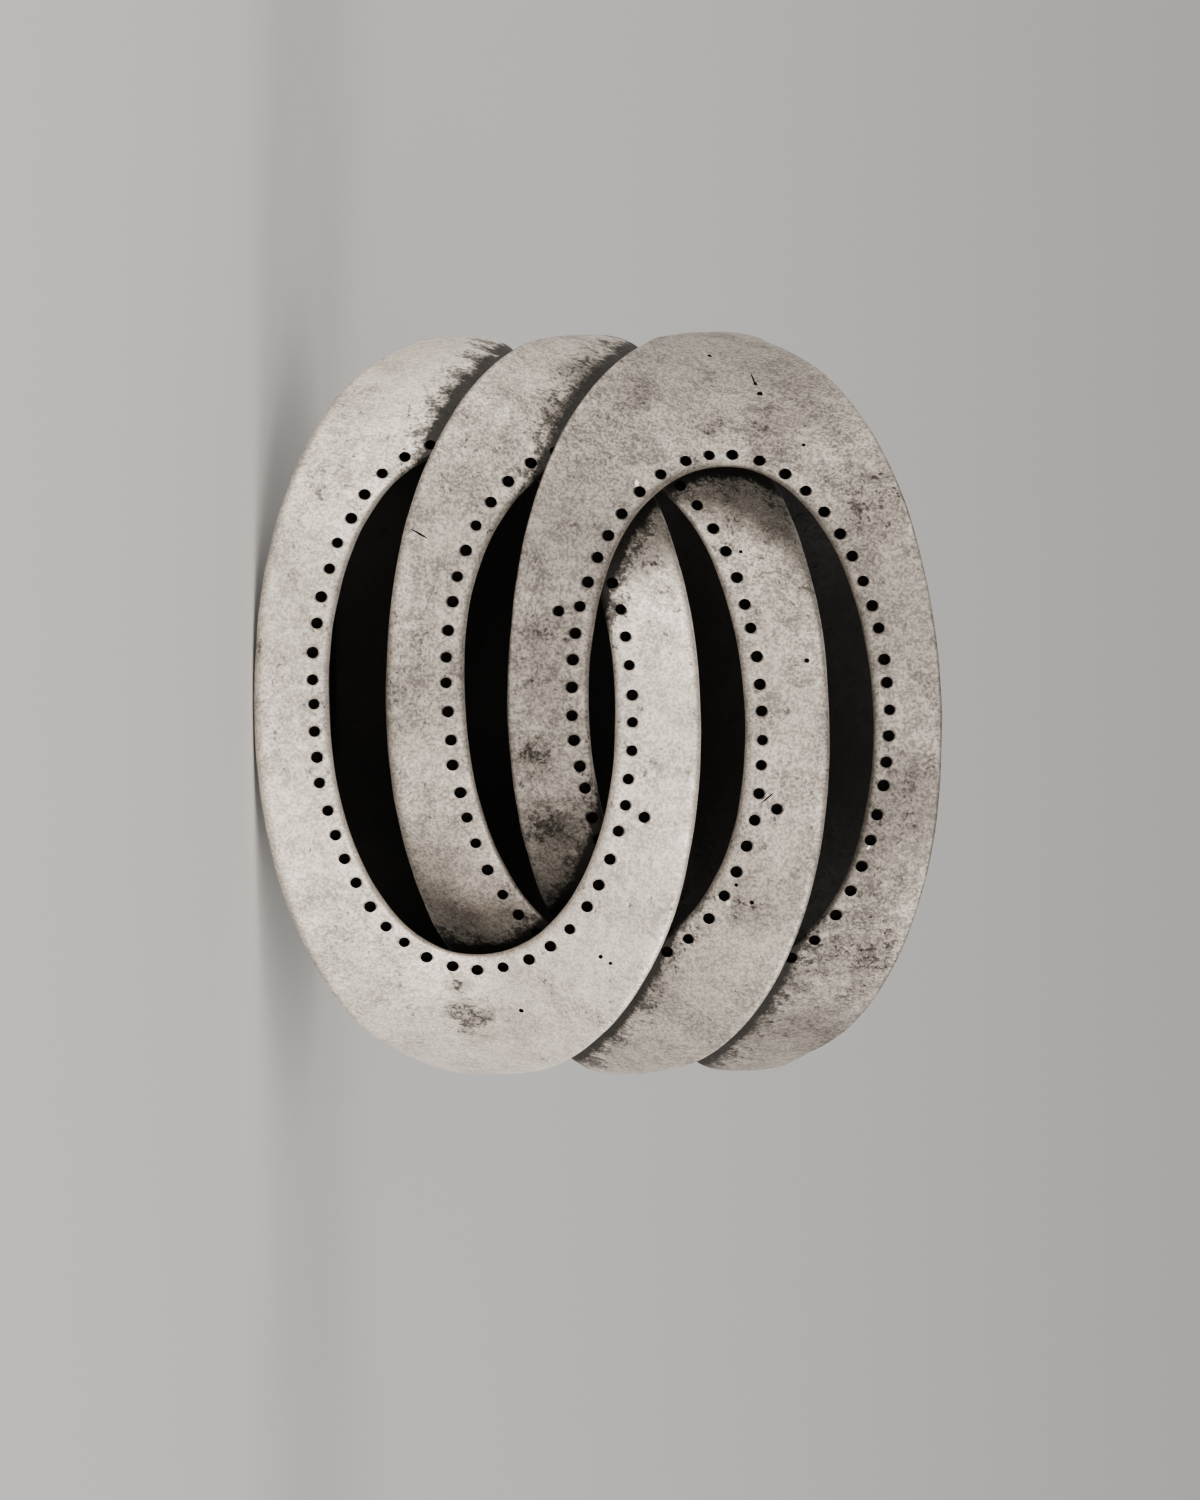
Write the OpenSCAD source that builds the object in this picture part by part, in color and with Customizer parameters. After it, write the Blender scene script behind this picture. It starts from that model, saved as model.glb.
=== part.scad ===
// Finger ring of three interlocked silver hoops.
// Each hoop is a narrow shank behind the finger that widens in front into an open oval eye.
// The eyes pass through each other, so the three hoops can't come apart.
// The ring lies on its side, with the finger's axis close to vertical and the eyes facing -Y.

/* [Finger] */
// Diameter of the hole for the finger
finger_d = 18.2; // [17:0.1:19]

/* [Front of a hoop] */
// Radius of the outer face in front, measured from the finger's axis
front_r = 11.6; // [11.4:0.05:11.9]
// Thickness of the flat strands in front
strand_t = 0.84; // [0.76:0.02:0.86]
// Height of the soft dome over the width of the front
crown = 0.12; // [0.04:0.01:0.14]
// Largest radius of the rounded edges
edge_round = 0.38; // [0.34:0.01:0.42]

/* [Shank] */
// Half of the middle shank's width behind the finger
shank_half = 1.52; // [1.3:0.02:1.56]
// How far the left and right shanks spread outwards behind the finger
wing = 4.4; // [3.6:0.1:4.4]
// Radius of the shank's outer face at its edges
back_r = 10.2; // [10:0.05:10.4]
// Height of the dome over the shank's width
shank_crown = 0.3; // [0.1:0.02:0.34]

/* [Twist] */
// Rise of a hoop's raised edge, in mm for each mm sideways, where the twist is strongest
twist = 0.45; // [0.43:0.01:0.47]
// Angle from the front at which the twist is strongest
twist_peak = 62; // [60:1:63]
// Angle from the front at which the twist has died out
twist_end = 97; // [96:1:104]
// Part of the twist that the ring's two outermost sides take, where no hoop lies beside them
free_share = 0.15; // [0.1:0.05:0.3]

/* [Outline] */
// Exponent of the outer outline, where 2 is an ellipse and more is fuller
outline_power = 2.2; // [2:0.05:2.4]
// Part by which the outline narrows towards the top
taper = 0.045; // [0:0.005:0.06]
// Exponent of the eye's outline
eye_power = 2.1; // [2:0.05:2.3]

/* [Hidden] */

// The three hoops, seen from the front, in mm.
// Columns: place along the finger, rise above the middle height, the angle by which the hoop
// leans to the left, half width and half height of the outline, half width and half height of the
// eye, its shift to the right and upwards, its own extra lean, and the side (-1 left, 1 right,
// 0 none) with no hoop beside it.
LEFT = 0;
MIDDLE = 1;
RIGHT = 2;
HOOPS = [
    [-3.71, 0.05, 1.9, 6.36, 10.57, 4.07, 7.19, -0.15,  0.03, 0.0, -1],
    [ 0.00, 0.06, 2.3, 6.30, 10.65, 3.97, 6.96, -0.09, -0.04, 2.0,  0],
    [ 3.33, 0.13, 2.0, 6.18, 10.47, 4.03, 7.05,  0.17, -0.35, 0.6,  1]
];
PLACE = 0;
RISE = 1;
LEAN = 2;
HALF_W = 3;
HALF_H = 4;
EYE_W = 5;
EYE_H = 6;
EYE_SHIFT = 7;
EYE_RISE = 8;
EYE_LEAN = 9;
FREE_SIDE = 10;

finger_r = finger_d / 2;
// The shank is first made this much too thick inside, and the finger hole is then bored
bore_stock = 0.3;
// Angles between which the thin front turns into the thicker shank
shank_from = 78;
shank_to = 96;
// Angles between which the left and right shanks spread outwards, hidden behind the front
wing_from = 118;
wing_to = 150;
// Angles between which the low dome of the front turns into the shank's
dome_from = 60;
dome_to = 90;
// How the outer face falls from the front to the shank: the angle it takes and its exponent
fall_end = 112;
fall_power = 1.4;
// Width over which the slope changes between a hoop's free side and its other side
free_blend = 0.6;
// Width of the blend where the outline runs into the shank
blend = 0.3;
// Angle from which the thickness of the band counts in its outline
horizon_from = 50;
// Part of its drop that a lowered edge is trimmed back for, so that it stays in the outline
low_trim = 0.45;
// Angles between which the outline draws in to the shank, so that the hoops clear each other
neck_from = 66;
neck_to = 94;
// Angle between two sections of a hoop, and the number of points on an eye's outline
row_step = 4;
eye_points = 56;
// Limits of the search for a band's reach
widest = 8;
halvings = 14;
// Part of its height that a dome still has halfway to the band's edge
shoulder = 0.75;
// Height over the lowest points within which the ring may touch the floor
low_zone = 1.2;
// Longer than the ring is wide, and the number of sides of the round hole
bore_length = 60;
bore_sides = 96;

// Height of an oval outline's edge from its long axis, at the height z above its middle
function oval(z, half_w, half_h, power) =
    half_w * pow(max(0, 1 - pow(abs(z) / half_h, power)), 1 / power);

// The larger of two numbers, with a soft corner of width k where they meet
function soft_max(a, b, k) = (a + b + sqrt(pow(a - b, 2) + k * k)) / 2;

// 0 before the first angle, 1 after the second, smooth between
function ease(t, from, to) =
    let (s = min(1, max(0, (t - from) / (to - from))))
    s * s * (3 - 2 * s);

// Radius of the outer face at the angle t from the front, without its dome
function outer_r(t) =
    let (s = pow(min(1, abs(t) / fall_end), fall_power))
    back_r + (front_r - back_r) * (1 + cos(180 * s)) / 2;

function band_t(t) =
    strand_t + (back_r - finger_r + bore_stock - strand_t) * ease(abs(t), shank_from, shank_to);

function mid_r(t) = outer_r(t) - band_t(t) / 2;

// Rise for each mm towards the left, positive above the middle and negative below it
function twist_at(t) =
    let (a = abs(t),
         past = min(1, max(0, a - twist_peak) / (twist_end - twist_peak)),
         size = a < twist_peak ? sin(90 * a / twist_peak) : (1 + cos(180 * past)) / 2)
    sign(t) * twist * size;

// Drop of the middle surface at the distance u to the right. Towards a free side the slope is
// less, and it changes softly over the width free_blend.
function drop(hoop, t, u) =
    let (free = hoop[FREE_SIDE],
         joined = (u - free * sqrt(u * u + free_blend * free_blend)) / 2)
    twist_at(t) * (free == 0 ? u : free_share * u + (1 - free_share) * joined);

function band_r(hoop, t, u) = mid_r(t) - drop(hoop, t, u);

// Height of a band's edge as seen from the front. Near the top and bottom its whole thickness
// shows. Behind the ring the height goes on growing, so that the outline stays at the shank.
function seen_height(t, r) =
    let (shown = r + band_t(t) / 2 * ease(abs(t), horizon_from, 90),
         level = sin(abs(t)))
    shown * (abs(t) < 90 ? level : 2 - level);

// How far the shank reaches to one side. Where no other hoop lies beside it, it spreads out to
// an edge that is level round the finger, whatever the hoop's lean.
function shank_reach(hoop, t, side) =
    let (level_wing = wing + side * back_r * sin(t) * sin(hoop[LEAN]),
         spread = side == hoop[FREE_SIDE] ? level_wing - shank_half : 0)
    shank_half + spread * ease(abs(t), wing_from, wing_to);

// How far the outline asks the band to reach at the angle t, given where its edge lies now
function target_reach(hoop, t, side, reach) =
    let (fall = drop(hoop, t, side * reach),
         height = seen_height(t, mid_r(t) - fall * (fall > 0 ? 1 - low_trim : 1)),
         narrowing = 1 - taper * max(0, sign(t) * height / hoop[HALF_H]),
         outline = narrowing * oval(height, hoop[HALF_W], hoop[HALF_H], outline_power),
         shank = shank_reach(hoop, t, side),
         neck = ease(abs(t), neck_from, neck_to))
    shank * neck + soft_max(shank, outline, blend) * (1 - neck);

// How far the band reaches to one side (1 right, -1 left) at the angle t, found by halving the
// range from low to high
function reach(hoop, t, side, low = 0, high = widest, steps = halvings) =
    let (mid = (low + high) / 2)
    steps == 0 ? mid :
    target_reach(hoop, t, side, mid) > mid ?
        reach(hoop, t, side, mid, high, steps - 1) :
        reach(hoop, t, side, low, mid, steps - 1);

// Point of the band: u is its distance to the right, lift its height over the middle surface
function band_point(hoop, t, u, lift) =
    let (r = band_r(hoop, t, u) + lift)
    [-r * sin(t), -r * cos(t), u];

// A rounded corner in three points, for the side (1 or -1) and the face (1 outer, -1 inner)
function corner(hoop, t, side, face, width, half_t) =
    let (e = min(edge_round, half_t),
         turns = side * face > 0 ? [90, 45, 0] : [0, 45, 90])
    [for (q = turns)
        band_point(hoop, t, side * (width - e + e * cos(q)), face * (half_t - e + e * sin(q)))];

function section(hoop, t) =
    let (half_t = band_t(t) / 2,
         dome = crown + (shank_crown - crown) * ease(abs(t), dome_from, dome_to),
         left = reach(hoop, t, -1),
         right = reach(hoop, t, 1))
    concat(
        corner(hoop, t, 1, 1, right, half_t),
        corner(hoop, t, 1, -1, right, half_t),
        [band_point(hoop, t, 0, -half_t)],
        corner(hoop, t, -1, -1, left, half_t),
        corner(hoop, t, -1, 1, left, half_t),
        [band_point(hoop, t, -left / 2, half_t + dome * shoulder)],
        [band_point(hoop, t, 0, half_t + dome)],
        [band_point(hoop, t, right / 2, half_t + dome * shoulder)]
    );

function band_rows(hoop) = [for (t = [-180:row_step:180 - row_step]) section(hoop, t)];

// Faces of a closed loop of rows, two triangles to each cell
function loop_faces(rows, cols) = [
    for (i = [0:rows - 1], j = [0:cols - 1])
        let (a = i * cols + j,
             b = i * cols + (j + 1) % cols,
             c = (i + 1) % rows * cols + j,
             d = (i + 1) % rows * cols + (j + 1) % cols)
        each [[a, c, b], [b, c, d]]
];

function flat(rows) = [for (row = rows) each row];

// The same move as in_hoop_place(), for one point
function placed(hoop, p) = [
    p.x * cos(hoop[LEAN]) - p.z * sin(hoop[LEAN]) - hoop[RISE],
    p.y,
    p.x * sin(hoop[LEAN]) + p.z * cos(hoop[LEAN]) + hoop[PLACE]
];

// The ring rests on the bulge of the left hoop's front and on the back edge of its shank. The
// tilt is the steepest from a front point to the lowest back point seen from it.
LEFT_POINTS = [for (p = flat(band_rows(HOOPS[LEFT]))) placed(HOOPS[LEFT], p)];
lowest = min([for (p = LEFT_POINTS) p.z]);
back_lowest = min([for (p = LEFT_POINTS) if (p.y > 0) p.z]);
FRONT_POINTS = [for (p = LEFT_POINTS) if (p.y < 0 && p.z < lowest + low_zone) p];
BACK_POINTS = [for (p = LEFT_POINTS) if (p.y > finger_r / 2 && p.z < back_lowest + low_zone) p];
rest_tilt = max([for (p = FRONT_POINTS)
    min([for (q = BACK_POINTS) atan2(q.z - p.z, q.y - p.y)])]);
floor_drop = min([for (p = LEFT_POINTS) p.z * cos(rest_tilt) - p.y * sin(rest_tilt)]);
ALL_POINTS = [for (hoop = HOOPS) each [for (p = flat(band_rows(hoop))) placed(hoop, p)]];
depths = [for (p = ALL_POINTS) p.y * cos(rest_tilt) + p.z * sin(rest_tilt)];
mid_depth = (min(depths) + max(depths)) / 2;

module in_hoop_place(hoop) {
    translate([-hoop[RISE], 0, hoop[PLACE]])
        rotate([0, -hoop[LEAN], 0])
            children();
}

// Stands the ring on its side on the floor, the way it rests by itself
module at_rest() {
    translate([0, -mid_depth, -floor_drop])
        rotate([-rest_tilt, 0, 0])
            children();
}

module band(hoop) {
    rows = band_rows(hoop);
    polyhedron(points = flat(rows), faces = loop_faces(len(rows), len(rows[0])), convexity = 6);
}

// The opening through the front of a hoop, cut straight along the line of sight
module eye(hoop) {
    turns = [for (i = [0:eye_points - 1]) 360 * i / eye_points];
    outline = [for (q = turns)
        [-hoop[EYE_H] * sign(sin(q)) * pow(abs(sin(q)), 2 / eye_power),
         hoop[EYE_W] * sign(cos(q)) * pow(abs(cos(q)), 2 / eye_power)]];
    rotate([90, 0, 0])
        linear_extrude(height = 2 * front_r)
            translate([-hoop[EYE_RISE], hoop[EYE_SHIFT]])
                rotate(hoop[EYE_LEAN])
                    polygon(outline);
}

module finger_bore() {
    cylinder(h = bore_length, r = finger_r, center = true, $fn = bore_sides);
}

module hoop(which) {
    at_rest()
        difference() {
            in_hoop_place(HOOPS[which])
                difference() {
                    band(HOOPS[which]);
                    eye(HOOPS[which]);
                }
            finger_bore();
        }
}

module left_hoop() {
    color([0.76, 0.73, 0.70]) hoop(LEFT);
}

module middle_hoop() {
    color([0.70, 0.67, 0.64]) hoop(MIDDLE);
}

module right_hoop() {
    color([0.64, 0.61, 0.58]) hoop(RIGHT);
}

left_hoop();
middle_hoop();
right_hoop();
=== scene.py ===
"""A finger ring of three interlocked silver hoops, lying on its side, seen from the front."""

import math
import random

import bmesh
import bpy
from mathutils import Matrix, Vector, noise
from mathutils.bvhtree import BVHTree


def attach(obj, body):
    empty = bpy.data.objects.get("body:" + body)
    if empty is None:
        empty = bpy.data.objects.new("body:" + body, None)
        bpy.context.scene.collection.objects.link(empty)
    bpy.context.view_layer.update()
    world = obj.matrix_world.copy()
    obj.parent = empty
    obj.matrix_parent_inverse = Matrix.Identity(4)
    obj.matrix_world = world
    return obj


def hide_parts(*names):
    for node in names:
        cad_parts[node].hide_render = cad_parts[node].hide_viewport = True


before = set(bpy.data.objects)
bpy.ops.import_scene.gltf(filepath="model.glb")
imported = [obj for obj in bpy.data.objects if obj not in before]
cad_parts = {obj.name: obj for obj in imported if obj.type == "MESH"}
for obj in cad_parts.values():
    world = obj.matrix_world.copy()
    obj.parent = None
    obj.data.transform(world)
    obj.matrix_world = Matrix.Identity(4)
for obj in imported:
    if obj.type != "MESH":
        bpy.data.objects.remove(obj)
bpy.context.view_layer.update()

MM = 0.001

# ---- Camera
# The ring lies on its left side and leans a little, and the camera looks squarely at its front.
# A long lens from far away shows the ring almost without perspective, as the photograph does.
REST_TILT = 5.35115    # degrees of the lean, at which the ring rests on its bulge and its back
RING_CENTRE = Vector((0, 0.846592, 8.9882))
# the resting ring's own ways: along the finger, towards its top, and where its front faces
ACROSS = Vector((0, math.sin(math.radians(REST_TILT)), math.cos(math.radians(REST_TILT))))
UPWARD = Vector((-1, 0, 0))
FRONTWARD = Vector((0, -math.cos(math.radians(REST_TILT)), math.sin(math.radians(REST_TILT))))
LENS_MM, SENSOR_MM = 600, 36
VIEW_HEIGHT_MM = 42.86
VIEW_RIGHT_MM, VIEW_UP_MM = -0.214, -1.257
FRONT_DEPTH_MM = 8

aim = RING_CENTRE + ACROSS * VIEW_RIGHT_MM + UPWARD * VIEW_UP_MM
distance = VIEW_HEIGHT_MM * LENS_MM / SENSOR_MM + FRONT_DEPTH_MM
camera_data = bpy.data.cameras.new("camera")
camera_data.lens = LENS_MM
camera_data.sensor_width = SENSOR_MM
camera_data.clip_start = 0.05
camera_data.clip_end = 20
camera = bpy.data.objects.new("camera", camera_data)
bpy.context.scene.collection.objects.link(camera)
camera.matrix_world = Matrix.Translation((aim + FRONTWARD * distance) * MM) @ Matrix(
    (ACROSS, UPWARD, FRONTWARD)).transposed().to_4x4()
bpy.context.scene.camera = camera

# ---- Floor and studio light
# A wide pale paper floor and three big soft lights low round the ring: at its top, at its bottom
# and in front of it. The room is a soft grey that is paler at the horizon.
bm = bmesh.new()
bmesh.ops.create_grid(bm, x_segments=1, y_segments=1, size=3)
floor_mesh = bpy.data.meshes.new("paper_floor")
bm.to_mesh(floor_mesh)
bm.free()
floor = bpy.data.objects.new("paper_floor", floor_mesh)
bpy.context.scene.collection.objects.link(floor)
paper = bpy.data.materials.new("pale_paper")
paper.use_nodes = True
paper_shader = paper.node_tree.nodes["Principled BSDF"]
paper_shader.inputs["Base Color"].default_value = (0.72, 0.715, 0.705, 1)
paper_shader.inputs["Roughness"].default_value = 0.9
floor_mesh.materials.append(paper)

LIGHT_DISTANCE_MM = 460


def soft_light(name, toward, size_mm, watts, colour):
    """A square light that shines at the ring from the given direction."""
    data = bpy.data.lights.new(name, "AREA")
    data.size = size_mm * MM
    data.energy = watts
    data.color = colour
    light = bpy.data.objects.new(name, data)
    bpy.context.scene.collection.objects.link(light)
    direction = Vector(toward).normalized()
    light.location = (RING_CENTRE + direction * LIGHT_DISTANCE_MM) * MM
    light.rotation_mode = "QUATERNION"
    light.rotation_quaternion = direction.to_track_quat("Z", "Y")


soft_light("key_light", (-0.95, -0.24, 0.16), 320, 1.32, (1.0, 0.965, 0.925))
soft_light("fill_light", (0.95, -0.22, 0.16), 320, 1.62, (1.0, 0.965, 0.93))
soft_light("front_light", (0.12, -1.0, 0.13), 300, 1.08, (1.0, 0.965, 0.93))

room = bpy.data.worlds.new("studio")
room.use_nodes = True
bpy.context.scene.world = room
room_nodes, room_links = room.node_tree.nodes, room.node_tree.links
room_where = room_nodes.new("ShaderNodeTexCoord")
room_height = room_nodes.new("ShaderNodeSeparateXYZ")
room_ramp = room_nodes.new("ShaderNodeValToRGB")
horizon, overhead = room_ramp.color_ramp.elements
horizon.position, horizon.color = 0.05, (0.98, 0.955, 0.925, 1)
overhead.position, overhead.color = 0.85, (0.30, 0.295, 0.29, 1)
room_links.new(room_where.outputs["Generated"], room_height.inputs["Vector"])
room_links.new(room_height.outputs["Z"], room_ramp.inputs["Fac"])
room_links.new(room_ramp.outputs["Color"], room_nodes["Background"].inputs["Color"])
room_nodes["Background"].inputs["Strength"].default_value = 0.95
bpy.context.scene.view_settings.view_transform = "AgX"
bpy.context.scene.view_settings.look = "AgX - Medium High Contrast"

# ---- Finish of all three hoops
# Cast silver, matte from sand casting and handling, with black oxide left in the recesses and
# ragged oxide grime beside the strands that pass over. A black band close beside and under those
# strands is painted shadow; the inner faces and the edges facing down and right carry painted
# shade, and the other edges wear lighter with a painted highlight. It is made once as node
# groups, and placed in each hoop's own material with its own values, whose tints step darker
# from left to right as painted light from the left.
NUMBER, PLACE = "NodeSocketFloat", "NodeSocketVector"
ORIGIN = (0, 0, 0)


def node_group(name, inputs, outputs):
    """An empty shader group. Inputs are (kind, name, value), and outputs are names of numbers."""
    group = bpy.data.node_groups.new(name, "ShaderNodeTree")
    for kind, label, value in inputs:
        socket = group.interface.new_socket(label, in_out="INPUT", socket_type=kind)
        socket.default_value = value
    for label in outputs:
        group.interface.new_socket(label, in_out="OUTPUT", socket_type=NUMBER)
    return group, group.nodes.new("NodeGroupInput"), group.nodes.new("NodeGroupOutput")


def math_node(tree, operation, a, b, clamp=False):
    """The result of a sum with two values, each a plain number or another node's output."""
    node = tree.nodes.new("ShaderNodeMath")
    node.operation = operation
    node.use_clamp = clamp
    for socket, value in zip(node.inputs, (a, b)):
        if isinstance(value, (int, float)):
            socket.default_value = value
        else:
            tree.links.new(value, socket)
    return node.outputs[0]


def plus(tree, a, b):
    return math_node(tree, "ADD", a, b)


def times(tree, a, b, clamp=False):
    return math_node(tree, "MULTIPLY", a, b, clamp)


def between(tree, value, low, high):
    """0 where the value is at low, 1 at high, smooth between."""
    node = tree.nodes.new("ShaderNodeMapRange")
    node.interpolation_type = "SMOOTHSTEP"
    tree.links.new(value, node.inputs["Value"])
    node.inputs["From Min"].default_value = low
    node.inputs["From Max"].default_value = high
    return node.outputs["Result"]


def blotches(tree, place, per_mm, detail, roughness=0.55, twist=0.0):
    """Cloudy spots from 0 to 1, about as many to the mm as per_mm says."""
    node = tree.nodes.new("ShaderNodeTexNoise")
    tree.links.new(place, node.inputs["Vector"])
    node.inputs["Scale"].default_value = per_mm
    node.inputs["Detail"].default_value = detail
    node.inputs["Roughness"].default_value = roughness
    node.inputs["Distortion"].default_value = twist
    return node.outputs["Fac"]


def millimetres(tree):
    """The object's own coordinates in mm."""
    where = tree.nodes.new("ShaderNodeTexCoord")
    scale = tree.nodes.new("ShaderNodeMapping")
    scale.inputs["Scale"].default_value = (1 / MM, 1 / MM, 1 / MM)
    tree.links.new(where.outputs["Object"], scale.inputs["Vector"])
    return scale.outputs["Vector"]


def measured(tree, name):
    """A value that was measured on the mesh."""
    node = tree.nodes.new("ShaderNodeAttribute")
    node.attribute_name = name
    return node.outputs["Fac"]


# Grain: fine speckle of the cast skin, larger soft patches, tiny pores, and how high they stand
grain_group, g_in, g_out = node_group(
    "cast_grain", [(PLACE, "Place", ORIGIN)], ("Speckle", "Patches", "Pores", "Height"))
place = g_in.outputs["Place"]
dust = blotches(grain_group, place, per_mm=12.0, detail=1.0, roughness=0.6)
sand = blotches(grain_group, place, per_mm=4.4, detail=2.0, roughness=0.6)
speckle = plus(grain_group, times(grain_group, dust, 0.62), times(grain_group, sand, 0.38))
patches = blotches(grain_group, place, per_mm=0.8, detail=4.0, roughness=0.6, twist=0.3)
bubbles = blotches(grain_group, place, per_mm=3.6, detail=2.0, roughness=0.7)
bubbles = plus(grain_group, bubbles, times(grain_group, patches, 0.3))
pores = between(grain_group, bubbles, 0.80, 0.90)
lumps = blotches(grain_group, place, per_mm=1.6, detail=2.0)
height = plus(grain_group, times(grain_group, speckle, 0.35), times(grain_group, lumps, 0.9))
height = math_node(grain_group, "SUBTRACT", height, times(grain_group, pores, 0.5))
for label, value in (("Speckle", speckle), ("Patches", patches), ("Pores", pores),
                     ("Height", height)):
    grain_group.links.new(value, g_out.inputs[label])

# Shadow and oxide: a smooth black band close beside and under another hoop is painted shadow,
# and the ragged grime that it thins out into is oxide. The inner faces and the inner part of the
# walls are painted near black as shade inside the ring, and the shanks' joints are black too.
shade_and_oxide_group, t_in, t_out = node_group(
    "painted_shade_and_oxide", [(PLACE, "Place", ORIGIN), (NUMBER, "GrimeAndShade", 0.0)], ("ShadowAndOxide", "Inside"))
place = t_in.outputs["Place"]
ragged = blotches(shade_and_oxide_group, place, per_mm=1.6, detail=5.0, roughness=0.7, twist=0.6)
crumbs = blotches(shade_and_oxide_group, place, per_mm=7.0, detail=3.0, roughness=0.75)
grit = plus(shade_and_oxide_group, times(shade_and_oxide_group, ragged, 1.5), times(shade_and_oxide_group, crumbs, 1.5))
grit = math_node(shade_and_oxide_group, "SUBTRACT", grit, 1.5)
near = measured(shade_and_oxide_group, "shadow_and_oxide_cover")
shadow = plus(shade_and_oxide_group, near, times(shade_and_oxide_group, grit, 0.22))
shadow = between(shade_and_oxide_group, shadow, 0.64, 0.80)
grime_and_shade = math_node(shade_and_oxide_group, "MAXIMUM", times(shade_and_oxide_group, near, 0.95),
                  t_in.outputs["GrimeAndShade"])
grime_and_shade = plus(shade_and_oxide_group, grime_and_shade, times(shade_and_oxide_group, grit, 1.3))
grime_and_shade = between(shade_and_oxide_group, grime_and_shade, 0.42, 0.85)
shadow_and_oxide = math_node(shade_and_oxide_group, "MAXIMUM", shadow, times(shade_and_oxide_group, grime_and_shade, 0.8))
# painted shade: the inner faces and the inner part of the walls go near black, and the shanks'
# joints black
sunken = times(shade_and_oxide_group, measured(shade_and_oxide_group, "depth"), -1.0)
inside_shade = between(shade_and_oxide_group, sunken, 0.0, 0.55)
shade_and_oxide_group.links.new(shadow_and_oxide, t_out.inputs["ShadowAndOxide"])
shade_and_oxide_group.links.new(inside_shade, t_out.inputs["Inside"])

# Mark: one darker patch at a place on the surface, with a ragged edge; most are stains, and some
# are painted shade. It counts distances into the metal less than those along it, so that it isn't
# cut off where the surface curves away.
mark_group, m_in, m_out = node_group(
    "stain_and_shade_mark",
    [(PLACE, "Place", ORIGIN), (PLACE, "Centre", ORIGIN), (NUMBER, "Size", 1.0),
     (NUMBER, "Strength", 0.5)],
    ("Mark",))
away = mark_group.nodes.new("ShaderNodeVectorMath")
away.operation = "SUBTRACT"
mark_group.links.new(m_in.outputs["Place"], away.inputs[0])
mark_group.links.new(m_in.outputs["Centre"], away.inputs[1])
flatter = mark_group.nodes.new("ShaderNodeVectorMath")
flatter.operation = "MULTIPLY"
flatter.inputs[1].default_value = (1, 0.35, 1)
mark_group.links.new(away.outputs["Vector"], flatter.inputs[0])
apart = mark_group.nodes.new("ShaderNodeVectorMath")
apart.operation = "LENGTH"
mark_group.links.new(flatter.outputs["Vector"], apart.inputs[0])
share = math_node(mark_group, "DIVIDE", apart.outputs["Value"], m_in.outputs["Size"])
fringe = blotches(mark_group, m_in.outputs["Place"], per_mm=2.6, detail=4.0, roughness=0.7)
share = plus(mark_group, share, times(mark_group, fringe, 1.6))
share = math_node(mark_group, "SUBTRACT", share, 0.8)
mark = times(mark_group, between(mark_group, share, 1.0, 0.2), m_in.outputs["Strength"])
mark_group.links.new(mark, m_out.inputs["Mark"])

SKIN_R = 11.3          # where the front's surface lies, about, from the finger's axis
# stains, and patches of painted shade
STAIN_AND_SHADE_TINT = (0.47, 0.46, 0.45)
PORE_TINT = (0.10, 0.09, 0.08)
# edges lighter from wear and as painted highlight
RUBBED_AND_LIT_TINT = (0.96, 0.90, 0.83)
# painted shade on edges that face down and right
EDGE_SHADE_TINT = (0.11, 0.10, 0.09)
# oxide, and the painted black shadow beside and under the hoops that pass over
OXIDE_AND_SHADOW_TINT = (0.030, 0.027, 0.024)
# painted shade inside the ring
INSIDE_SHADE_TINT = (0.019, 0.018, 0.017)
BUMP_HEIGHT = 0.06 * MM


def in_front(a, h):
    """A place on the ring's front that is seen at a to the right and h up, in mm."""
    depth = math.sqrt(max(0, SKIN_R ** 2 - h ** 2))
    return RING_CENTRE + ACROSS * a + UPWARD * h + FRONTWARD * depth


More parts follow.
